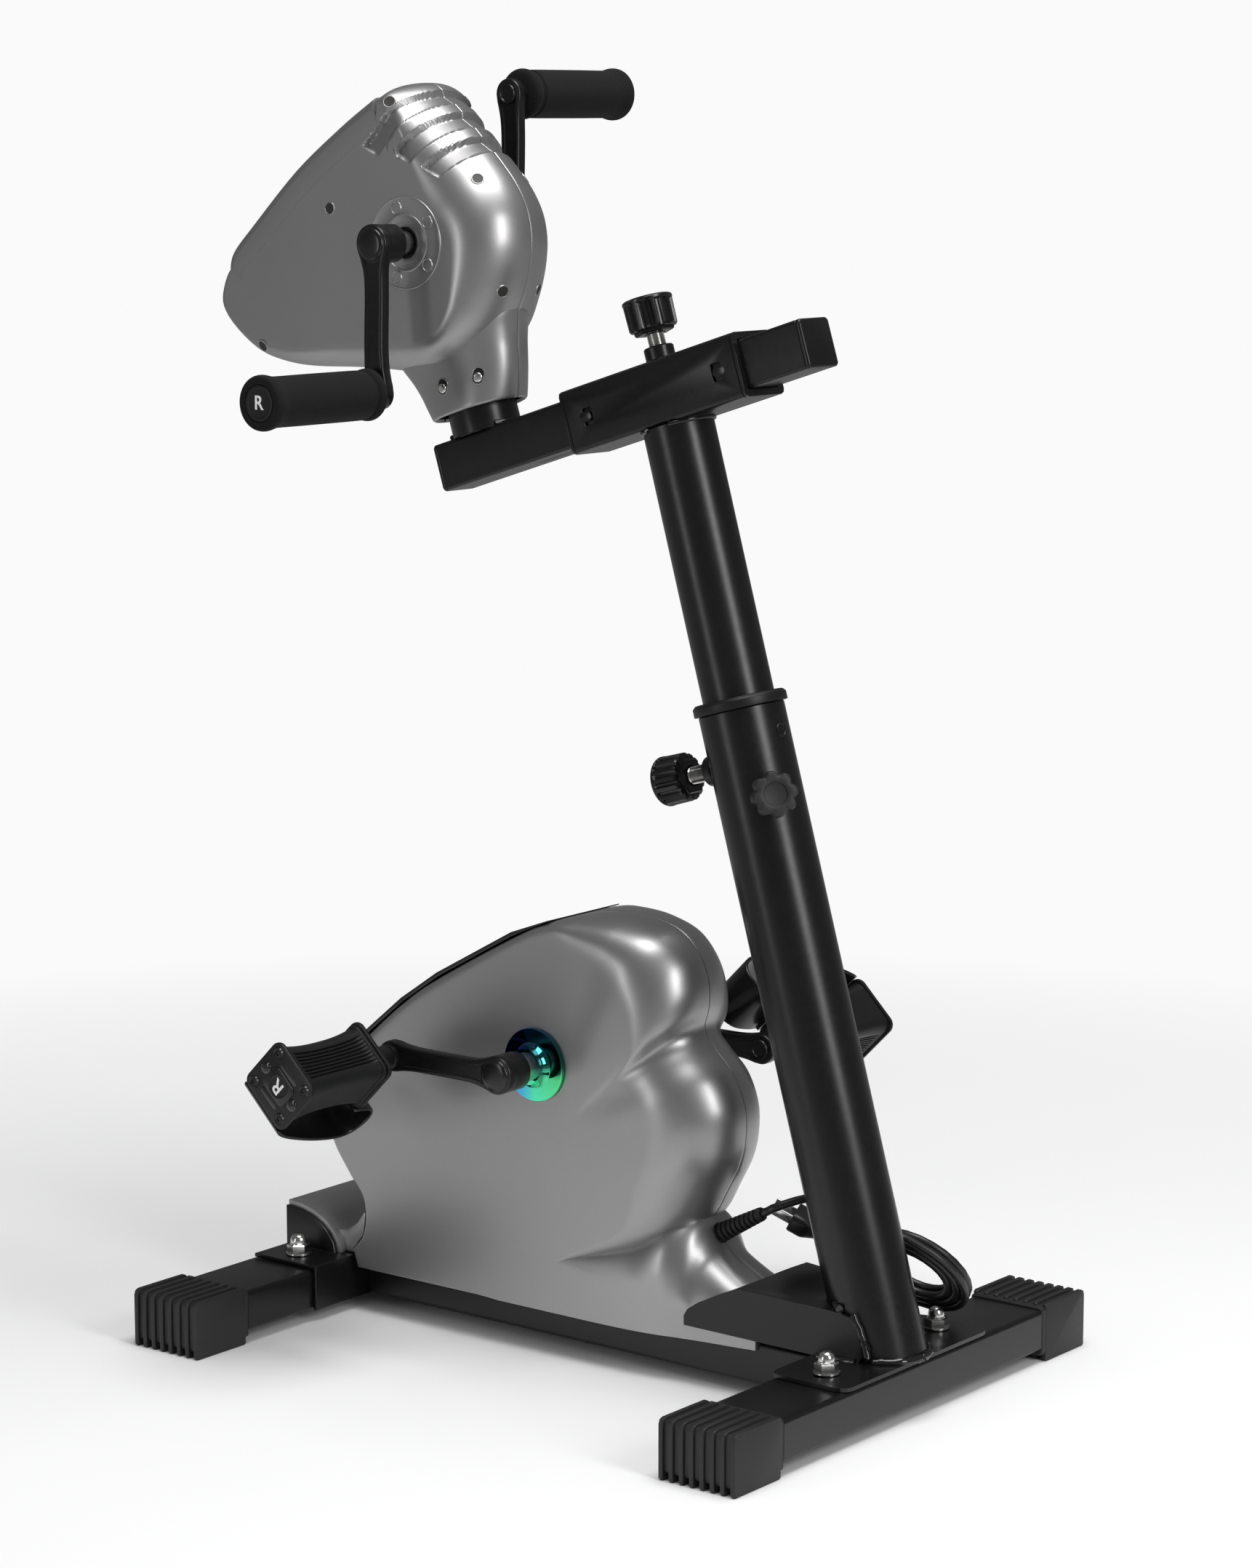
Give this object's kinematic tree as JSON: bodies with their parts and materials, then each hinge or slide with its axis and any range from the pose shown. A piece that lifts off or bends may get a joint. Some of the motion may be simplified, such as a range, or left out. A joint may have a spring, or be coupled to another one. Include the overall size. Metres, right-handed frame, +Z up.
{
  "type": "electric pedal exerciser",
  "caption": "Electric arm and leg pedal exerciser: a motor unit with foot pedals on a floor frame, and hand cranks on a leaning telescopic column.",
  "frame": {"origin": "floor point midway between the object's front and back and between its sides", "axes": "+Z up, +X to the user's right, +Y from the user's seat towards the leaning column"},
  "size_m": [0.4226, 0.6013, 0.9101],
  "materials": {
    "black_paint": "semi-gloss black powder coat",
    "black_plastic": "satin black moulded plastic",
    "cap_plastic": "matt dark grey plastic, ribbed",
    "gloss_black": "high-gloss black panel",
    "silver_housing": "warm silver-grey metallic paint on plastic",
    "foam": "matt black foam",
    "rubber": "soft black rubber",
    "zinc": "bright zinc plate",
    "steel": "turned steel",
    "mirror_disc": "mirror disc, blue to green",
    "lead": "satin black cord sheath",
    "lens": "dark clear display window",
    "button": "grey rubberised key"
  },
  "bodies": {
    "base": {"column_cross_bar": "black_paint", "user_cross_bar": "black_paint", "column_bar_cap_right": "cap_plastic", "column_bar_cap_left": "cap_plastic", "user_bar_cap_right": "cap_plastic", "user_bar_cap_left": "cap_plastic", "base_beam": "black_paint", "user_bar_bracket": "black_paint", "toe_cover": "silver_housing", "column_base": "black_paint", "column_outer_tube": "black_paint", "column_collar": "black_plastic", "column_pin_barrel": "zinc", "cap_nut_column_right": "zinc", "cap_nut_column_left": "zinc", "cap_nut_user_right": "zinc", "cap_nut_user_left": "zinc", "lower_shell_right": "silver_housing", "lower_shell_left": "silver_housing", "lower_panel": "gloss_black", "display_module": "lens", "strain_relief": "rubber", "cord_run": "lead", "cord_coil": "lead", "plug": "lead", "gear_motor": "steel", "drive_frame": "steel", "foot_bearing_right": "steel", "foot_bearing_left": "steel", "drive_belt": "rubber"},
    "foot_crank": {"foot_axle": "steel", "axle_disc_right": "mirror_disc", "axle_disc_left": "mirror_disc", "foot_crank_right": "black_paint", "foot_crank_left": "black_paint"},
    "motor_rotor": {"motor_pulley": "black_plastic"},
    "right_pedal": {"pedal_right": "black_plastic", "pedal_strap_right": "rubber"},
    "left_pedal": {"pedal_left": "black_plastic", "pedal_strap_left": "rubber"},
    "column": {"column_inner_tube": "black_paint", "sleeve": "black_paint", "sleeve_liner": "black_plastic", "sleeve_pin_barrel": "zinc"},
    "slide": {"slide_tube": "black_paint", "upper_shell_right": "silver_housing", "upper_shell_left": "silver_housing", "upper_panel": "gloss_black", "hand_bearing": "steel"},
    "hand_crank": {"hand_axle": "steel", "hand_crank_right": "black_paint", "hand_crank_left": "black_paint"},
    "right_grip": {"grip_right": "foam"},
    "left_grip": {"grip_left": "foam"},
    "column_knob": {"column_pin_knob": "black_plastic"},
    "sleeve_knob": {"sleeve_pin_knob": "black_plastic"},
    "lock_knob": {"star_knob": "black_plastic"},
    "right_key": {"button_right": "button"},
    "middle_key": {"button_middle": "button"},
    "left_key": {"button_left": "button"}
  },
  "joints": [
    {"name": "foot_crank_spin", "type": "hinge", "parent": "base", "child": "foot_crank", "pos_m": [0, 0.0016, 0.213], "axis": [1, 0, 0], "continuous": true},
    {"name": "motor_spin", "type": "hinge", "parent": "base", "child": "motor_rotor", "pos_m": [0.013, 0.088, 0.142], "axis": [1, 0, 0], "continuous": true},
    {"name": "right_pedal_spin", "type": "hinge", "parent": "foot_crank", "child": "right_pedal", "pos_m": [0.17, -0.0959, 0.213], "axis": [1, 0, 0], "continuous": true},
    {"name": "left_pedal_spin", "type": "hinge", "parent": "foot_crank", "child": "left_pedal", "pos_m": [-0.17, 0.0991, 0.213], "axis": [1, 0, 0], "continuous": true},
    {"name": "column_slide", "type": "slide", "parent": "base", "child": "column", "axis": [0, -0.2743, 0.9616], "range_m": [-0.15, 0.05]},
    {"name": "beam_slide", "type": "slide", "parent": "column", "child": "slide", "axis": [0, 0.9542, 0.299], "range_m": [-0.045, 0.04]},
    {"name": "hand_crank_spin", "type": "hinge", "parent": "slide", "child": "hand_crank", "pos_m": [0, -0.1186, 0.787], "axis": [1, 0, 0], "continuous": true},
    {"name": "right_grip_spin", "type": "hinge", "parent": "hand_crank", "child": "right_grip", "pos_m": [0.145, -0.11225, 0.68319], "axis": [1, 0, 0], "continuous": true},
    {"name": "left_grip_spin", "type": "hinge", "parent": "hand_crank", "child": "left_grip", "pos_m": [-0.145, -0.12495, 0.89081], "axis": [1, 0, 0], "continuous": true},
    {"name": "column_pin_pull", "type": "slide", "parent": "base", "child": "column_knob", "axis": [0, -0.9616, -0.2743], "range_m": [0, 0.008], "stiffness_N_per_m": 900, "springref_m": -0.003},
    {"name": "sleeve_pin_pull", "type": "slide", "parent": "column", "child": "sleeve_knob", "axis": [0, -0.299, 0.9542], "range_m": [0, 0.008], "stiffness_N_per_m": 900, "springref_m": -0.003},
    {"name": "lock_knob_turn", "type": "hinge", "parent": "base", "child": "lock_knob", "pos_m": [0, 0.16148, 0.41447], "axis": [0.682, 0.7033, 0.2006], "range_deg": [0, 720]},
    {"name": "right_key_press", "type": "slide", "parent": "base", "child": "right_key", "axis": [0, 0.4819, -0.8762], "range_m": [0, 0.0012], "stiffness_N_per_m": 600, "springref_m": -0.0003},
    {"name": "middle_key_press", "type": "slide", "parent": "base", "child": "middle_key", "axis": [0, 0.4819, -0.8762], "range_m": [0, 0.0012], "stiffness_N_per_m": 600, "springref_m": -0.0003},
    {"name": "left_key_press", "type": "slide", "parent": "base", "child": "left_key", "axis": [0, 0.4819, -0.8762], "range_m": [0, 0.0012], "stiffness_N_per_m": 600, "springref_m": -0.0003}
  ],
  "couplings": [
    {"joint": "motor_spin", "follows": "foot_crank_spin", "ratio": 4}
  ]
}
